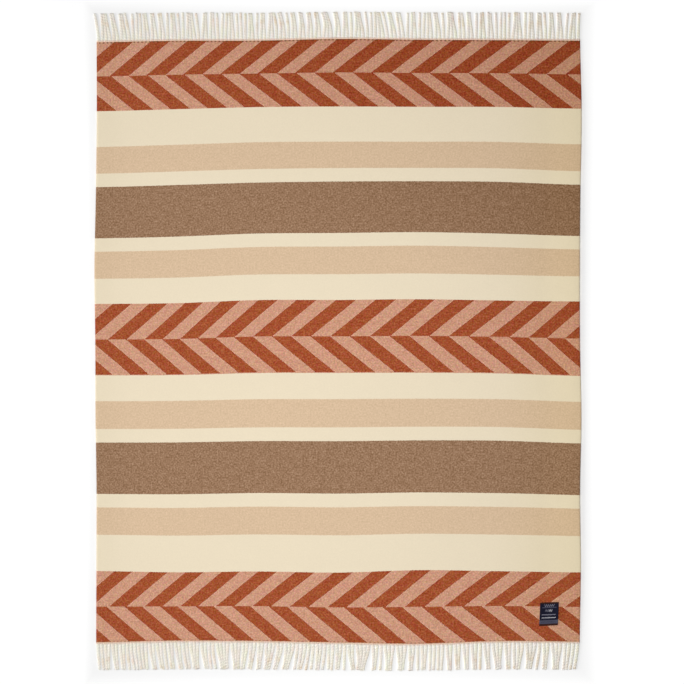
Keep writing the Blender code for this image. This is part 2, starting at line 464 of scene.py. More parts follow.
def add_tube_faces(faces, first, rings, sides):
    """Adds the faces of a closed tube whose points are numbered ring by ring from the first one on."""
    for ring in range(rings - 1):
        low = first + ring * sides
        for side in range(sides):
            beside = (side + 1) % sides
            faces.append((low + side, low + beside, low + beside + sides, low + side + sides))
    faces.append(tuple(first + side for side in reversed(range(sides))))
    top = first + (rings - 1) * sides
    faces.append(tuple(top + side for side in range(sides)))


def add_strand(points, faces, places, end, route, number):
    """Adds one twisted strand: its points, faces and yarn places, which are around and along."""
    first = len(points)
    step = 1 / (STRAND_RINGS - 1)
    length = FRINGE_REACH
    for ring in range(STRAND_RINGS):
        share = ring * step
        x, y = strand_place(end, route, share)
        behind = strand_place(end, route, max(share - step, 0.0))
        ahead = strand_place(end, route, min(share + step, 1.0))
        angle = math.atan2(ahead[0] - behind[0], abs(ahead[1] - behind[1]))
        turn = 2 * math.pi * (number * TWIST_STEP + share * length / TWIST_PITCH)
        wide = STRAND_HALF_WIDTH[end] * (1 - STRAND_TAPER * share) * strand_swell(share)
        high = STRAND_HALF_HEIGHT * (1 - STRAND_ROOT_DIP * max(0.0, 1 - share / ROOT_FLARE_SHARE))
        full = TIP_ROUNDING if ring == STRAND_RINGS - 1 else 1.0
        for side in range(STRAND_SIDES):
            around = 2 * math.pi * side / STRAND_SIDES
            radius = full - PLY_WAIST * (1 - math.cos(2 * (around - turn)))
            aside = wide * radius * flattened(math.cos(around))
            rise = high * radius * flattened(math.sin(around))
            points.append(
                (
                    x + aside * math.cos(angle),
                    y - OUTWARDS[end] * aside * math.sin(angle),
                    STRAND_HALF_HEIGHT + rise,
                )
            )
            places.append((number + side / STRAND_SIDES, share * length))
    add_tube_faces(faces, first, STRAND_RINGS, STRAND_SIDES)


def add_frays(points, faces, places, end, route, number, scatter):
    """Adds the loose wool of one cut end: thin closed spikes that stick out of it."""
    x, y = strand_place(end, route, 1.0)
    half_width = STRAND_HALF_WIDTH[end] * (1 - STRAND_TAPER)
    for _ in range(FRAYS):
        first = len(points)
        root_x = x + half_width * scatter.uniform(-FRAY_SPREAD, FRAY_SPREAD)
        height = STRAND_HALF_HEIGHT * scatter.uniform(*FRAY_HEIGHTS)
        for corner in range(3):
            angle = 2 * math.pi * corner / 3
            aside = FRAY_THICKNESS * math.cos(angle)
            rise = FRAY_THICKNESS * math.sin(angle)
            points.append((root_x + aside, y - OUTWARDS[end] * FRAY_ROOT, height + rise))
        tip_y = y + OUTWARDS[end] * scatter.uniform(*FRAY_REACH)
        tip_x = root_x + scatter.uniform(-FRAY_STRAY, FRAY_STRAY)
        points.append((tip_x, tip_y, height * FRAY_DROOP))
        places.extend([(number + FRAY_AROUND, FRINGE_REACH)] * 4)
        faces.append((first, first + 1, first + 2))
        for corner in range(3):
            faces.append((first + corner, first + (corner + 1) % 3, first + 3))


def add_header(points, faces, places, end):
    """Adds the raw strip between the hem and the strands, scalloped where each strand leaves it."""
    along = 1.0 if end == "top" else 0.0
    first = len(points)
    middle = (HEADER_TOP + HEADER_FOOT) / 2
    # share of the way out from the hem, height
    section = (
        (0.0, HEADER_FOOT),
        (0.9, HEADER_FOOT),
        (1.0, middle),
        (0.8, HEADER_TOP * 0.93),
        (0.4, HEADER_TOP),
        (0.0, HEADER_TOP),
    )
    for column in range(HEADER_COLUMNS + 1):
        across = column / HEADER_COLUMNS
        x = warp_x(across, along)
        scallop = -HEADER_SCALLOP * math.cos(2 * math.pi * across * STRANDS)
        depth = HEADER_TUCK + HEADER_REACH + scallop
        start = hem_y(end, x) - OUTWARDS[end] * HEADER_TUCK
        for out, height in section:
            points.append((x, start + OUTWARDS[end] * depth * out, height))
            places.append((across * STRANDS, -out * depth))
    add_tube_faces(faces, first, HEADER_COLUMNS + 1, len(section))


def mesh_with_places(name, points, faces, places, layer):
    mesh = bpy.data.meshes.new(name)
    mesh.from_pydata(points, [], faces)
    bm = bmesh.new()
    bm.from_mesh(mesh)
    bm.verts.ensure_lookup_table()
    uv = bm.loops.layers.uv.new(layer)
    for face in bm.faces:
        face.smooth = len(face.verts) == 4
        for loop in face.loops:
            loop[uv].uv = places[loop.vert.index]
    bmesh.ops.recalc_face_normals(bm, faces=bm.faces[:])
    bm.to_mesh(mesh)
    bm.free()
    return mesh


def make_fringe(end):
    points, faces, places = [], [], []
    add_header(points, faces, places, end)
    scatter = random.Random(SEEDS[end] + 20)
    for number, route in enumerate(strand_routes(end)):
        add_strand(points, faces, places, end, route, number)
        add_frays(points, faces, places, end, route, number, scatter)
    name = f"blanket_fringe_{end}"
    return link(name, mesh_with_places(name, points, faces, places, "yarn"))


def label_point(u, v):
    """Where a place on the label lies, seen from above. u and v run from -0.5 to 0.5."""
    x = u * LABEL_WIDTH
    y = v * LABEL_LENGTH
    return LABEL_X + x + LABEL_SKEW * y, LABEL_Y + y + LABEL_SKEW * x


def label_foot(x, y):
    """Height of the label's underside where it lies flat on the cloth."""
    return CLOTH_THICKNESS + GAP + curl_height(x, y / CLOTH_LENGTH + 0.5) + swell_height(x, y)


def label_curl(u, v):
    """How far the label stands off the cloth: its free sides curl up a little, its sewn ends don't."""
    height = 0.0
    for side, crest in zip((-1, 1), LABEL_CURLS):
        inset = (0.5 - side * u) * LABEL_WIDTH
        height += crest * max(0.0, 1 - inset / LABEL_CURL_REACH) ** 2
    return height * (1 - (2 * v) ** 4)


def add_stitch(bm, u, end):
    """One stitch of thread over the label's end: a bead from the label's top down to the cloth."""
    made = bmesh.ops.create_uvsphere(bm, u_segments=8, v_segments=8, radius=1.0)
    for vertex in made["verts"]:
        aside = vertex.co.x * STITCH_WIDTH / 2
        past_end = vertex.co.y * STITCH_LENGTH / 2 - STITCH_INSET
        x, y = label_point(u + aside / LABEL_WIDTH, end * (0.5 + past_end / LABEL_LENGTH))
        drop = smooth_step((past_end + STITCH_BEND) / (2 * STITCH_BEND))
        rise = (LABEL_THICKNESS + LABEL_FOLD_RISE) * (1 - drop) + vertex.co.z * STITCH_HEIGHT
        vertex.co = (x, y, label_foot(x, y) + rise)
    return made["verts"]


def make_label():
    """The woven label as a closed sheet whose two ends are folded under and sewn down."""
    bm = bmesh.new()
    raised = add_sheet(bm, LABEL_CELLS)
    flat_places = {}
    for vertex in bm.verts:
        u, v = vertex.co.x, vertex.co.y
        x, y = label_point(u, v)
        from_end = (0.5 - abs(v)) * LABEL_LENGTH
        fold = LABEL_FOLD_RISE * smooth_step(1 - from_end / LABEL_FOLD)
        lift = LABEL_THICKNESS + fold if vertex in raised else 0.0
        flat_places[vertex] = (u * LABEL_WIDTH, v * LABEL_LENGTH)
        vertex.co = (x, y, label_foot(x, y) + label_curl(u, v) + lift)
    bmesh.ops.recalc_face_normals(bm, faces=bm.faces[:])
    for end in (-1, 1):
        for number in range(STITCHES):
            u = (number + 0.5) / STITCHES - 0.5
            for vertex in add_stitch(bm, u, end):
                flat_places[vertex] = (u * LABEL_WIDTH, end * LABEL_LENGTH / 2)
    weave = bm.loops.layers.uv.new("weave")
    for face in bm.faces:
        face.smooth = True
        for loop in face.loops:
            loop[weave].uv = flat_places[loop.vert]
    mesh = bpy.data.meshes.new("blanket_label")
    bm.to_mesh(mesh)
    bm.free()
    return link("blanket_label", mesh)


# Flecks and tints are steps on a screen's scale, which this power turns light into
SCREEN_GAMMA = 2.2
DARKEST_STEP = 0.02


def screen_colour(levels):
    """A colour from its three screen levels, 0 to 255, as light."""
    shares = [level / 255 for level in levels]
    light = [s / 12.92 if s <= 0.04045 else ((s + 0.055) / 1.055) ** 2.4 for s in shares]
    return (*light, 1.0)


class Nodes:
    """Adds nodes to one material. Each call returns the socket that holds its result."""

    def __init__(self, material):
        self.tree = material.node_tree

    def put(self, socket, value):
        if isinstance(value, bpy.types.NodeSocket):
            self.tree.links.new(value, socket)
        elif value is not None:
            socket.default_value = value

    def math(self, operation, first, second=None, third=None):
        node = self.tree.nodes.new("ShaderNodeMath")
        node.operation = operation
        for socket, value in zip(node.inputs, (first, second, third)):
            self.put(socket, value)
        return node.outputs[0]

    def mix(self, share, first, second):
        node = self.tree.nodes.new("ShaderNodeMix")
        node.data_type = "RGBA"
        self.put(node.inputs["Factor"], share)
        self.put(node.inputs["A"], first)
        self.put(node.inputs["B"], second)
        return node.outputs["Result"]

    def scaled(self, colour, factor):
        """A colour times a number."""
        node = self.tree.nodes.new("ShaderNodeVectorMath")
        node.operation = "SCALE"
        self.put(node.inputs[0], colour)
        self.put(node.inputs["Scale"], factor)
        return node.outputs["Vector"]

    def place(self, layer):
        """The two numbers of a map."""
        node = self.tree.nodes.new("ShaderNodeUVMap")
        node.uv_map = layer
        return self.parts(node.outputs[0])

    def point(self, x, y, z):
        node = self.tree.nodes.new("ShaderNodeCombineXYZ")
        for socket, value in zip(node.inputs, (x, y, z)):
            self.put(socket, value)
        return node.outputs[0]

    def noise_node(self, place, detail, roughness):
        node = self.tree.nodes.new("ShaderNodeTexNoise")
        node.noise_dimensions = "3D"
        self.put(node.inputs["Vector"], place)
        node.inputs["Scale"].default_value = 1.0
        node.inputs["Detail"].default_value = detail
        node.inputs["Roughness"].default_value = roughness
        return node

    def noise(self, place, detail=2.0, roughness=0.5):
        """Noise about one unit across, from 0 to 1 with its middle at 0.5."""
        return self.noise_node(place, detail, roughness).outputs["Fac"]

    def stray_hues(self, place):
        """Noise like the above as a colour whose channels stray each on its own."""
        return self.noise_node(place, 1.0, 0.5).outputs["Color"]

    def spot(self, u, v, pitch, layer):
        """A place for noise whose grains are a pitch apart. Each layer has other grains."""
        return self.point(self.math("DIVIDE", u, pitch), self.math("DIVIDE", v, pitch), layer)

    def parts(self, colour):
        """The first two channels of a colour."""
        node = self.tree.nodes.new("ShaderNodeSeparateXYZ")
        self.put(node.inputs[0], colour)
        return node.outputs["X"], node.outputs["Y"]

    def vector(self, operation, first, second):
        node = self.tree.nodes.new("ShaderNodeVectorMath")
        node.operation = operation
        self.put(node.inputs[0], first)
        self.put(node.inputs[1], second)
        return node.outputs["Vector"]

    def gamma(self, colour, power):
        node = self.tree.nodes.new("ShaderNodeGamma")
        self.put(node.inputs["Color"], colour)
        node.inputs["Gamma"].default_value = power
        return node.outputs["Color"]

    def flecked(self, colour, tone, hues, hue_share):
        """A colour moved by a tone and by a share of stray hues, both as steps on a screen's scale."""
        stray = self.scaled(self.vector("SUBTRACT", hues, (0.5, 0.5, 0.5)), hue_share)
        step = self.vector("ADD", self.point(tone, tone, tone), stray)
        moved = self.vector("ADD", self.gamma(colour, 1 / SCREEN_GAMMA), step)
        return self.gamma(self.vector("MAXIMUM", moved, (DARKEST_STEP,) * 3), SCREEN_GAMMA)

    def random(self, value):
        """A number from 0 to 1 that is the same for each whole value."""
        node = self.tree.nodes.new("ShaderNodeTexWhiteNoise")
        node.noise_dimensions = "1D"
        self.put(node.inputs["W"], value)
        return node.outputs["Value"]

    def choice(self, number, colours):
        """The colour of that number in a list that counts from 0."""
        node = self.tree.nodes.new("ShaderNodeValToRGB")
        ramp = node.color_ramp
        ramp.interpolation = "CONSTANT"
        while len(ramp.elements) < len(colours):
            ramp.elements.new(1.0)
        for k, (element, colour) in enumerate(zip(ramp.elements, colours)):
            element.position = k / len(colours)
            element.color = colour
        share = self.math("DIVIDE", self.math("ADD", number, 0.5), len(colours))
        self.put(node.inputs["Fac"], share)
        return node.outputs["Color"]

    def soft_step(self, value, start, end):
        """0 up to start, 1 from end on, and smooth between them."""
        node = self.tree.nodes.new("ShaderNodeMapRange")
        node.interpolation_type = "SMOOTHSTEP"
        self.put(node.inputs["Value"], value)
        self.put(node.inputs["From Min"], start)
        self.put(node.inputs["From Max"], end)
        return node.outputs["Result"]

    def bump(self, height, depth):
        node = self.tree.nodes.new("ShaderNodeBump")
        node.inputs["Strength"].default_value = 1.0
        node.inputs["Distance"].default_value = depth
        self.put(node.inputs["Height"], height)
        return node.outputs["Normal"]


def new_material(name, roughness, specular):
    material = bpy.data.materials.new(name)
    material.use_nodes = True
    shader = material.node_tree.nodes["Principled BSDF"]
    shader.inputs["Metallic"].default_value = 0.0
    shader.inputs["Roughness"].default_value = roughness
    shader.inputs["Specular IOR Level"].default_value = specular
    return material, Nodes(material), shader


# Yarn colours as screen levels, and how far their flecks stray in brightness and in hue
# yarn, colour, grey flecks, coloured flecks
YARNS = {
    "rust": ((160, 77, 41), 0.35, 0.17),
    "pink": ((203, 150, 123), 0.31, 0.15),
    "cream": ((233, 219, 192), 0.03, 0.0),
    "beige": ((215, 187, 155), 0.13, 0.0),
    "brown": ((151, 117, 89), 0.38, 0.0),
}
FLECK_PITCH = 0.0044
PATCH_PITCH = 0.016
PATCH_SHARE = 0.25
# how far the yarns wander off their course, and over what length
WANDER = 0.0030
WANDER_PITCH = 0.0024
# the twill's ribs across and along the cloth, how far they wander in turns, and their share of its relief
RIB_PITCHES = (0.0030, 0.0033)
RIB_WANDER = 1.5
RIB_SHARE = 0.18
NAP_PITCH = 0.0012
CLOTH_BUMP = 0.00035
# Each noise has a layer of its own, so that no two have the same grains
CLOTH_LAYERS = {"wander": 0.0, "nap": 2.0, "flecks": 4.0, "fleck hues": 6.0, "patches": 9.0}
# Painted shade, where less light falls: the flecks are darker towards the top right corner. How much the way
# to the right and the way to the top count, from where to where on that way it grows, and by what share of
# the flecks' own stray
PAINTED_SHADE_WAYS = (0.35, 0.65)
PAINTED_SHADE_FROM_TO = (0.55, 0.95)
PAINTED_SHADE_TONE = -0.13
HEM_EDGE = (233, 194, 164)
HEM_EDGE_DEPTHS = {"top": 0.0016, "bottom": 0.0013}
HEM_EDGE_BLUR = 0.3
# The hems' dots between strands: partly the darker weft in each gap, partly painted shade in it
HEM_DOT_WEFT_AND_SHADE = (114, 68, 32)
HEM_DOT_DEPTH = 0.0060
HEM_DOT_FULL_SHARE = 0.6
# a dot's width, its place and the blur of its sides, as shares of the way from strand to strand
HEM_DOT_WIDTH = 0.42
HEM_DOT_PLACE = 0.85
HEM_DOT_BLUR = 0.126
# how clear the dots are at the bottom hem, next to those at the top one
HEM_DOT_FADED = 0.45
# steps on a screen's scale, from 0 to 1, at the edge of a dark and of a light stripe
DARK_EDGE_TONE = -0.075
LIGHT_EDGE_TONE = 0.085
# Painted shade: the cloth is a little darker and warmer towards its selvedges, where less light falls on it
# side, how far in, share of red, green and blue left at the selvedge
SELVEDGE_SHADE_TINTS = (
    ("left", 0.090, (0.975, 0.975, 0.965)),
    ("right", 0.250, (0.965, 0.955, 0.885)),
)


def yarns_of(herringbone_yarn):
    """The yarn of each band, from the bottom hem to the top one."""
    names = [herringbone_yarn if yarn == "herringbone" else yarn for yarn, _ in reversed(BANDS)]
    return [YARNS[name] for name in names]


def band_colours(herringbone_yarn):
    return [screen_colour(colour) for colour, _, _ in yarns_of(herringbone_yarn)]


def band_flecks(herringbone_yarn):
    return [(grey, hue, 0.0, 1.0) for _, grey, hue in yarns_of(herringbone_yarn)]


def band_number(nodes, v):
    """Which band a height above the bottom hem is in, counted from 0 upwards."""
    number = None
    edge = 0.0
    for _, height in reversed(BANDS[1:]):
        edge += height
        past = nodes.math("GREATER_THAN", v, edge)
        number = past if number is None else nodes.math("ADD", number, past)
    return number


def spines():
    """Height of each herringbone band's spine above the bottom hem and half its height, top band first."""
    found = []
    top = CLOTH_LENGTH
    for yarn, height in BANDS:
        if yarn == "herringbone":
            found.append((top - height / 2, height / 2))
        top -= height
    return found


def stripes(nodes, u, v):
    """Two numbers: 1 on the herringbone's dark stripes and 0 on its light ones, and 1 on their edges."""
    share = 0.0
    edge = 0.0
    for (spine, half), (upper, lower, width) in zip(spines(), STRIPE_STARTS):
        rise = nodes.math("SUBTRACT", v, spine)
        below = nodes.math("LESS_THAN", rise, 0.0)
        away = nodes.math("ABSOLUTE", rise)
        leaning = nodes.math("MULTIPLY_ADD", away, -STRIPE_RUN / half, u)
        start = nodes.math("MULTIPLY_ADD", below, lower - upper, upper)
        periods = nodes.math("DIVIDE", leaning, STRIPE_PERIOD)
        place = nodes.math("FRACT", nodes.math("SUBTRACT", periods, start))
        inside = nodes.math("LESS_THAN", away, half)
        dark = nodes.math("MULTIPLY", nodes.math("LESS_THAN", place, width), inside)
        share = nodes.math("ADD", share, dark)
        from_end = nodes.math("ABSOLUTE", nodes.math("SUBTRACT", place, width))
        from_start = nodes.math("PINGPONG", place, 0.5)
        off = nodes.math("MULTIPLY", nodes.math("MINIMUM", from_end, from_start), STRIPE_PERIOD)
        line = nodes.math("MULTIPLY", nodes.soft_step(off, STRIPE_EDGE, 0.0), inside)
        edge = nodes.math("ADD", edge, line)
    return share, edge


def woven_colours(nodes, u, v):
    """The yarn at a place: its colour, how its flecks stray, 1 on a dark stripe, and 1 on a stripe's edge."""
    number = band_number(nodes, v)
    dark, stripe_edge = stripes(nodes, u, nodes.math("SNAP", v, WEFT_STEP))
    colour = nodes.mix(
        dark, nodes.choice(number, band_colours("pink")), nodes.choice(number, band_colours("rust"))
    )
    flecks = nodes.mix(
        dark, nodes.choice(number, band_flecks("pink")), nodes.choice(number, band_flecks("rust"))
    )
    return colour, flecks, dark, stripe_edge


def hem_marks(nodes, u, v, colour):
    """Where the weft turns back at a hem: a pale edge, and a dark dot between each pair of strands, partly
    the darker weft seen in the gap there and partly painted shade in it.
    """
    inset = nodes.math("MINIMUM", v, nodes.math("SUBTRACT", CLOTH_LENGTH, v))
    at_top = nodes.math("GREATER_THAN", v, CLOTH_LENGTH / 2)
    strand = nodes.math("MULTIPLY", u, STRANDS / CLOTH_WIDTH)
    off_dot = nodes.math("FRACT", nodes.math("SUBTRACT", strand, HEM_DOT_PLACE - 0.5))
    off_dot = nodes.math("ABSOLUTE", nodes.math("SUBTRACT", off_dot, 0.5))
    half = HEM_DOT_WIDTH / 2
    across = nodes.soft_step(off_dot, half + HEM_DOT_BLUR, half - HEM_DOT_BLUR)
    down = nodes.soft_step(inset, HEM_DOT_DEPTH, HEM_DOT_DEPTH * HEM_DOT_FULL_SHARE)
    clear = nodes.math("MULTIPLY_ADD", at_top, 1 - HEM_DOT_FADED, HEM_DOT_FADED)
    dot = nodes.math("MULTIPLY", nodes.math("MULTIPLY", across, down), clear)
    top, bottom = HEM_EDGE_DEPTHS["top"], HEM_EDGE_DEPTHS["bottom"]
    edge_depth = nodes.math("MULTIPLY_ADD", at_top, top - bottom, bottom)
    in_depths = nodes.math("DIVIDE", inset, edge_depth)
    edge = nodes.soft_step(in_depths, 1 + HEM_EDGE_BLUR, 1 - HEM_EDGE_BLUR)
    # Dots of darker weft and painted shade between the strands
    colour = nodes.mix(dot, colour, screen_colour(HEM_DOT_WEFT_AND_SHADE))
    return nodes.mix(edge, colour, screen_colour(HEM_EDGE))


def heather_tone(nodes, u, v):
    """How light or dark the flecks are at a place, about 0.5: they lie in patches, with painted shade making
    them darker towards the top right corner.
    """
    fleck = nodes.noise(nodes.spot(u, v, FLECK_PITCH, CLOTH_LAYERS["flecks"]), detail=1.0)
    patch = nodes.noise(nodes.spot(u, v, PATCH_PITCH, CLOTH_LAYERS["patches"]), detail=1.0)
    tone = nodes.math("MULTIPLY_ADD", nodes.math("SUBTRACT", patch, 0.5), PATCH_SHARE, fleck)
    # Painted shade: darker flecks towards the top right corner, where less light falls
    corner = nodes.math("MULTIPLY", u, PAINTED_SHADE_WAYS[0] / CLOTH_WIDTH)
    corner = nodes.math("MULTIPLY_ADD", v, PAINTED_SHADE_WAYS[1] / CLOTH_LENGTH, corner)
    return nodes.math("MULTIPLY_ADD", nodes.soft_step(corner, *PAINTED_SHADE_FROM_TO), PAINTED_SHADE_TONE, tone)


# Paints shade: darker and warmer towards each selvedge
def shaded_selvedges(nodes, u, colour):
    insets = {"left": u, "right": nodes.math("SUBTRACT", CLOTH_WIDTH, u)}
    for side, reach, shade_tint in SELVEDGE_SHADE_TINTS:
        near = nodes.soft_step(insets[side], reach, 0.0)
        colour = nodes.mix(near, colour, nodes.vector("MULTIPLY", colour, shade_tint))
    return colour


def twill_height(nodes, u, v, wander):
    """The height of the twill's ribs and of the nap over them."""
    turns_u = nodes.math("DIVIDE", u, RIB_PITCHES[0])
    turns_v = nodes.math("DIVIDE", v, RIB_PITCHES[1])
    turns = nodes.math("MULTIPLY_ADD", wander, RIB_WANDER, nodes.math("ADD", turns_u, turns_v))
    ribs = nodes.math("SINE", nodes.math("MULTIPLY", turns, 2 * math.pi))
    nap = nodes.noise(nodes.spot(u, v, NAP_PITCH, CLOTH_LAYERS["nap"]), detail=3.0, roughness=0.65)
    return nodes.math("MULTIPLY_ADD", ribs, RIB_SHARE, nap)


def wool_cloth():
    material, nodes, shader = new_material("wool cloth", roughness=0.95, specular=0.15)
    u, v = nodes.place("weave")

    # The yarns wander a little, so that no edge between two colours is quite clean
    wander = nodes.noise(nodes.spot(u, v, WANDER_PITCH, CLOTH_LAYERS["wander"]))
    stray = nodes.math("MULTIPLY", nodes.math("SUBTRACT", wander, 0.5), WANDER)
    fuzzy_u = nodes.math("ADD", u, stray)
    fuzzy_v = nodes.math("ADD", v, stray)
    colour, flecks, dark, stripe_edge = woven_colours(nodes, fuzzy_u, fuzzy_v)
    colour = hem_marks(nodes, u, v, colour)

    # Heather: flecks of darker and lighter wool, as strong as the yarn's own, with painted shade towards the
    # top right corner
    grey, hue = nodes.parts(flecks)
    tone = nodes.math("MULTIPLY", nodes.math("SUBTRACT", heather_tone(nodes, u, v), 0.5), grey)
    edge_tone = nodes.math("MULTIPLY_ADD", dark, DARK_EDGE_TONE - LIGHT_EDGE_TONE, LIGHT_EDGE_TONE)
    tone = nodes.math("MULTIPLY_ADD", stripe_edge, edge_tone, tone)
    hues = nodes.stray_hues(nodes.spot(u, v, FLECK_PITCH, CLOTH_LAYERS["fleck hues"]))
    # Painted shade towards the selvedges
    colour = shaded_selvedges(nodes, u, nodes.flecked(colour, tone, hues, hue))

    nodes.put(shader.inputs["Base Color"], colour)
    nodes.put(shader.inputs["Normal"], nodes.bump(twill_height(nodes, u, v, wander), CLOTH_BUMP))
    shader.inputs["Sheen Weight"].default_value = 0.12
    shader.inputs["Sheen Roughness"].default_value = 0.55
    return material


# The fringes' yarn, as screen levels: out to its cut ends, and at its roots
YARN_END = (240, 234, 221)
YARN_ROOT = (246, 219, 199)
ROOT_TINT_REACH = 0.006
# how far along a strand its tint lasts, and how far it strays
TINT_PITCH = 0.030
TINT_SHARE = 0.07
# Here and there, towards the cut ends, a few strands side by side are a warmer beige: how many, how much
# of it they take on, from where to where along them it grows, and how much noise it takes
YARN_WARM = (226, 204, 178)
WARM_STRANDS = 3.0
WARM_SHARE = 0.55
WARM_FROM_TO = (0.010, 0.050)
WARM_NOISE = (0.5, 0.7)
# how far strands and fibres stray in brightness
STRAND_STRAY = 0.05
FIBRE_STRAY = 0.14
YARN_LAYERS = {"tints": 5.0, "warm strands": 8.0}
# how much of the light sinks into a strand before it comes back out, and how far it spreads there
YARN_DEPTH = 0.4
YARN_SPREAD = 0.002
FIBRES_AROUND = 16.0
FIBRE_PITCH = 0.007
GROOVE_SHADE = 0.15
YARN_BUMP = 0.0005


def ply_crests(nodes, number, around, v):
    """1 on the crest of each of a strand's two plies, and 0 in the grooves between them."""
    turn = nodes.math("MULTIPLY_ADD", number, TWIST_STEP, nodes.math("DIVIDE", v, TWIST_PITCH))
    past_crest = nodes.math("MULTIPLY", nodes.math("SUBTRACT", around, turn), 2 * math.pi)
    return nodes.math("ABSOLUTE", nodes.math("COSINE", past_crest))


def yarn_colour(nodes, number, v, tone):
    """The colour of a strand along its length, times a tone."""
    root = nodes.soft_step(v, ROOT_TINT_REACH, 0.0)
    colour = nodes.mix(root, screen_colour(YARN_END), screen_colour(YARN_ROOT))
    along = nodes.math("DIVIDE", v, TINT_PITCH)
    group = nodes.math("DIVIDE", number, WARM_STRANDS)
    patches = nodes.noise(nodes.point(group, along, YARN_LAYERS["warm strands"]))
    warm = nodes.math("MULTIPLY", nodes.soft_step(patches, *WARM_NOISE), WARM_SHARE)
    warm = nodes.math("MULTIPLY", warm, nodes.soft_step(v, *WARM_FROM_TO))
    colour = nodes.mix(warm, colour, screen_colour(YARN_WARM))
    tints = nodes.stray_hues(nodes.point(number, along, YARN_LAYERS["tints"]))
    return nodes.flecked(nodes.scaled(colour, tone), 0.0, tints, TINT_SHARE)


def wool_fringe():
    material, nodes, shader = new_material("wool fringe", roughness=0.92, specular=0.15)
    u, v = nodes.place("yarn")
    number = nodes.math("FLOOR", u)
    around = nodes.math("FRACT", u)
    across = nodes.math("MULTIPLY", around, FIBRES_AROUND)
    along = nodes.math("DIVIDE", v, FIBRE_PITCH)
    fibres = nodes.noise(nodes.point(across, along, number), detail=3.0, roughness=0.6)
    ply = ply_crests(nodes, number, around, v)
    groove = nodes.math("POWER", nodes.math("SUBTRACT", 1.0, ply), 2.0)

    strand_stray = nodes.math("SUBTRACT", nodes.random(number), 0.5)
    tone = nodes.math("MULTIPLY_ADD", strand_stray, STRAND_STRAY, 1.0)
    tone = nodes.math("MULTIPLY_ADD", nodes.math("SUBTRACT", fibres, 0.5), FIBRE_STRAY, tone)
    tone = nodes.math("MULTIPLY_ADD", groove, -GROOVE_SHADE, tone)

    nodes.put(shader.inputs["Base Color"], yarn_colour(nodes, number, v, tone))
    nodes.put(shader.inputs["Normal"], nodes.bump(nodes.math("ADD", ply, fibres), YARN_BUMP))
    shader.inputs["Subsurface Weight"].default_value = YARN_DEPTH
    shader.inputs["Subsurface Radius"].default_value = (1.0, 1.0, 1.0)
    shader.inputs["Subsurface Scale"].default_value = YARN_SPREAD
    shader.inputs["Sheen Weight"].default_value = 0.15
    shader.inputs["Sheen Roughness"].default_value = 0.5
    return material


# What is woven into the label: straight rules and bands, which have no rise, and rows of zigzags
# colour, height of the middle, thickness, left end, right end, rise of a zigzag, width of one
LABEL_LINES = (
    ("grey", 0.0226, 0.0018, -0.0134, 0.0134, 0.0029, 0.0052),
    ("slate", 0.0174, 0.0022, -0.0190, 0.0190, 0.0, 0.0100),
    ("grey", 0.0090, 0.0018, -0.0108, 0.0000, 0.0030, 0.0054),
    ("pale", 0.0090, 0.0030, 0.0000, 0.0082, 0.0026, 0.0054),
    ("grey", -0.0017, 0.0013, -0.0195, 0.0180, 0.0007, 0.0038),
    ("slate", -0.0048, 0.0009, -0.0095, 0.0090, 0.0008, 0.0095),
    ("pale", -0.0100, 0.0017, -0.0190, 0.0185, 0.0006, 0.0038),
    ("slate", -0.0128, 0.0009, -0.0150, 0.0080, 0.0008, 0.0095),
    ("slate", -0.0212, 0.0096, -0.0250, 0.0250, 0.0, 0.0100),
    ("ground", -0.0214, 0.0008, -0.0200, 0.0190, 0.0014, 0.0046),
)
LABEL_LINE_BLUR = 0.0002
# How far down the label's two ends the thread of its stitches reaches, top and bottom
LABEL_BOUND_ENDS = (0.0275, -0.0265)
LABEL_WARP_PITCH = 0.0007
LABEL_WEFT_PITCH = 0.0006
LABEL_THREAD_SHADE = 0.10
LABEL_BUMP = 0.00006
LABEL_COLOURS = {
    "ground": (17, 17, 37),
    "slate": (72, 72, 88),
    "grey": (146, 144, 158),
    "pale": (186, 184, 190),
    "stitches": (56, 30, 24),
}


def zigzag_line(nodes, u, v, middle, thickness, left, right, rise, width):
    """1 on a line across the label that goes up and down, or runs straight where it has no rise."""
    wave = nodes.math("MULTIPLY_ADD", nodes.math("PINGPONG", u, width / 2), -4 * rise / width, rise)
    off = nodes.math("ABSOLUTE", nodes.math("SUBTRACT", nodes.math("ADD", v, wave), middle))
    half = thickness / 2
    on_line = nodes.soft_step(off, half + LABEL_LINE_BLUR, half - LABEL_LINE_BLUR)
    started = nodes.math("MULTIPLY", on_line, nodes.math("GREATER_THAN", u, left))
    return nodes.math("MULTIPLY", started, nodes.math("LESS_THAN", u, right))


def woven_label():
    material, nodes, shader = new_material("woven label", roughness=0.7, specular=0.12)
    u, v = nodes.place("weave")
    colour = screen_colour(LABEL_COLOURS["ground"])
    for name, *line in LABEL_LINES:
        share = zigzag_line(nodes, u, v, *line)
        colour = nodes.mix(share, colour, screen_colour(LABEL_COLOURS[name]))
    top, bottom = LABEL_BOUND_ENDS
    bound = nodes.math("ADD", nodes.math("GREATER_THAN", v, top), nodes.math("LESS_THAN", v, bottom))
    colour = nodes.mix(bound, colour, screen_colour(LABEL_COLOURS["stitches"]))
    warp = nodes.math("SINE", nodes.math("MULTIPLY", u, 2 * math.pi / LABEL_WARP_PITCH))
    weft = nodes.math("SINE", nodes.math("MULTIPLY", v, 2 * math.pi / LABEL_WEFT_PITCH))
    threads = nodes.math("MULTIPLY", warp, weft)
    colour = nodes.scaled(colour, nodes.math("MULTIPLY_ADD", threads, LABEL_THREAD_SHADE, 1.0))
    nodes.put(shader.inputs["Base Color"], colour)
    nodes.put(shader.inputs["Normal"], nodes.bump(threads, LABEL_BUMP))
    return material


FLOOR_LEVEL = 0.90
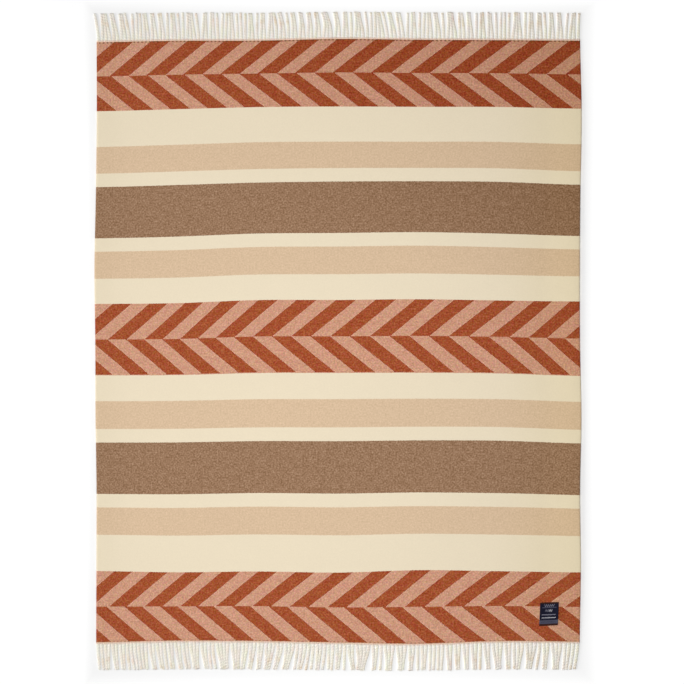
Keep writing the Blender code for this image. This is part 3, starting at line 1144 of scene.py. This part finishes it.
# The floor's glow: beside the throw, a hand's breadth away and at the picture's corners. Being weakest beside
# the throw, it paints a soft shade on the floor around it
FLOOR_GLOWS = (0.08, 0.19, 0.32)
FLOOR_GLOW_REACHES = (0.040, 0.350)
# how much it grows in each metre to the right and to the top, where less light reaches the floor
FLOOR_GLOW_TILT = (0.085, 0.03)
# which way each side of the throw faces, how far it is from the middle, and how fast the glow grows there;
# its slower growth at the right and the bottom widens the painted shade on those sides
THROW_SIDES = (
    ((-1, 0), CLOTH_WIDTH / 2, 1.0),
    ((1, 0), CLOTH_WIDTH / 2, 0.7),
    ((0, 1), CLOTH_LENGTH / 2 + FRINGE_REACH, 1.0),
    ((0, -1), CLOTH_LENGTH / 2 + FRINGE_REACH, 0.7),
)


def white_floor():
    """A pale floor with a faint glow of its own that keeps it white out to the picture's corners, and that is
    weaker beside the throw, which paints a soft shade around it.
    """
    material, nodes, shader = new_material("pale floor", roughness=0.9, specular=0.1)
    place = material.node_tree.nodes.new("ShaderNodeNewGeometry").outputs["Position"]
    x, y = nodes.parts(place)
    away = 0.0
    for (facing_x, facing_y), distance, speed in THROW_SIDES:
        past = nodes.math("MULTIPLY_ADD", x, facing_x, nodes.math("MULTIPLY", y, facing_y))
        past = nodes.math("MULTIPLY", nodes.math("SUBTRACT", past, distance), speed)
        away = nodes.math("MAXIMUM", past, away)
    before, *steps = FLOOR_GLOWS
    glow = nodes.math("MULTIPLY_ADD", x, FLOOR_GLOW_TILT[0], before)
    glow = nodes.math("MULTIPLY_ADD", y, FLOOR_GLOW_TILT[1], glow)
    for reach, level in zip(FLOOR_GLOW_REACHES, steps):
        glow = nodes.math("MULTIPLY_ADD", nodes.soft_step(away, 0.0, reach), level - before, glow)
        before = level
    shader.inputs["Base Color"].default_value = (FLOOR_LEVEL, FLOOR_LEVEL, FLOOR_LEVEL, 1.0)
    shader.inputs["Emission Color"].default_value = (1.0, 1.0, 1.0, 1.0)
    nodes.put(shader.inputs["Emission Strength"], glow)
    return material


def make_floor():
    """A plain white floor, which isn't part of the throw."""
    bpy.ops.mesh.primitive_plane_add(size=FLOOR_SIZE, location=(0.0, 0.0, -FLOOR_DROP))
    floor = bpy.context.object
    floor.name = "floor"
    floor.data.materials.append(white_floor())


# name, place, where it faces, width, height, power in watts
LIGHTS = (
    ("softbox overhead", (-0.09, -0.25, 2.40), (0.0, 0.0, -1.0), 0.8, 3.0, 46.0),
    ("panel far left", (-8.0, 0.0, 2.70), (1.0, 0.0, 0.0), 5.0, 4.2, 520.0),
)
SKY_STRENGTH = 0.228


def make_lights():
    for name, place, facing, width, height, power in LIGHTS:
        light = bpy.data.lights.new(name, "AREA")
        light.shape = "RECTANGLE"
        light.size = width
        light.size_y = height
        light.energy = power
        lamp = bpy.data.objects.new(name, light)
        lamp.location = place
        lamp.rotation_euler = Vector(facing).to_track_quat("-Z", "Y").to_euler()
        lamp.visible_camera = False
        bpy.context.scene.collection.objects.link(lamp)
    world = bpy.data.worlds.new("studio")
    world.use_nodes = True
    sky = world.node_tree.nodes["Background"]
    sky.inputs["Color"].default_value = (1.0, 1.0, 1.0, 1.0)
    sky.inputs["Strength"].default_value = SKY_STRENGTH
    bpy.context.scene.world = world


def make_camera():
    """Straight above, at the height where the frame takes in what the photograph does."""
    data = bpy.data.cameras.new("camera")
    data.lens = CAMERA_LENS
    data.sensor_width = SENSOR
    camera = bpy.data.objects.new("camera", data)
    height = PHOTO_PIXELS * PIXEL_SIZE * CAMERA_LENS / SENSOR
    camera.location = (VIEW_X, VIEW_Y, CLOTH_THICKNESS + height)
    bpy.context.scene.collection.objects.link(camera)
    bpy.context.scene.camera = camera


def dress(piece, material, node):
    piece.data.materials.append(material)
    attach(piece, "root")
    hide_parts(node)


def main():
    make_camera()
    make_floor()
    make_lights()
    bpy.context.scene.view_settings.view_transform = "Standard"
    cloth = make_cloth()
    fringes = [make_fringe(end) for end in ("top", "bottom")]
    label = make_label()
    yarn = wool_fringe()
    dress(cloth, wool_cloth(), "cloth")
    for end, fringe in zip(("top", "bottom"), fringes):
        dress(fringe, yarn, f"fringe_{end}")
    dress(label, woven_label(), "label")


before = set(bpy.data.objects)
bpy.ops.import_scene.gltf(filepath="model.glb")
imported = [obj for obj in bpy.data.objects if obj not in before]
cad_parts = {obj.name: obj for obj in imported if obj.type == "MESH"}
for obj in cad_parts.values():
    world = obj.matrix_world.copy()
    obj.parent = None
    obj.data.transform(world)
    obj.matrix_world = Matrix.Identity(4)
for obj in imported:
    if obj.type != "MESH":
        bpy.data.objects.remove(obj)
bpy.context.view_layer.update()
main()
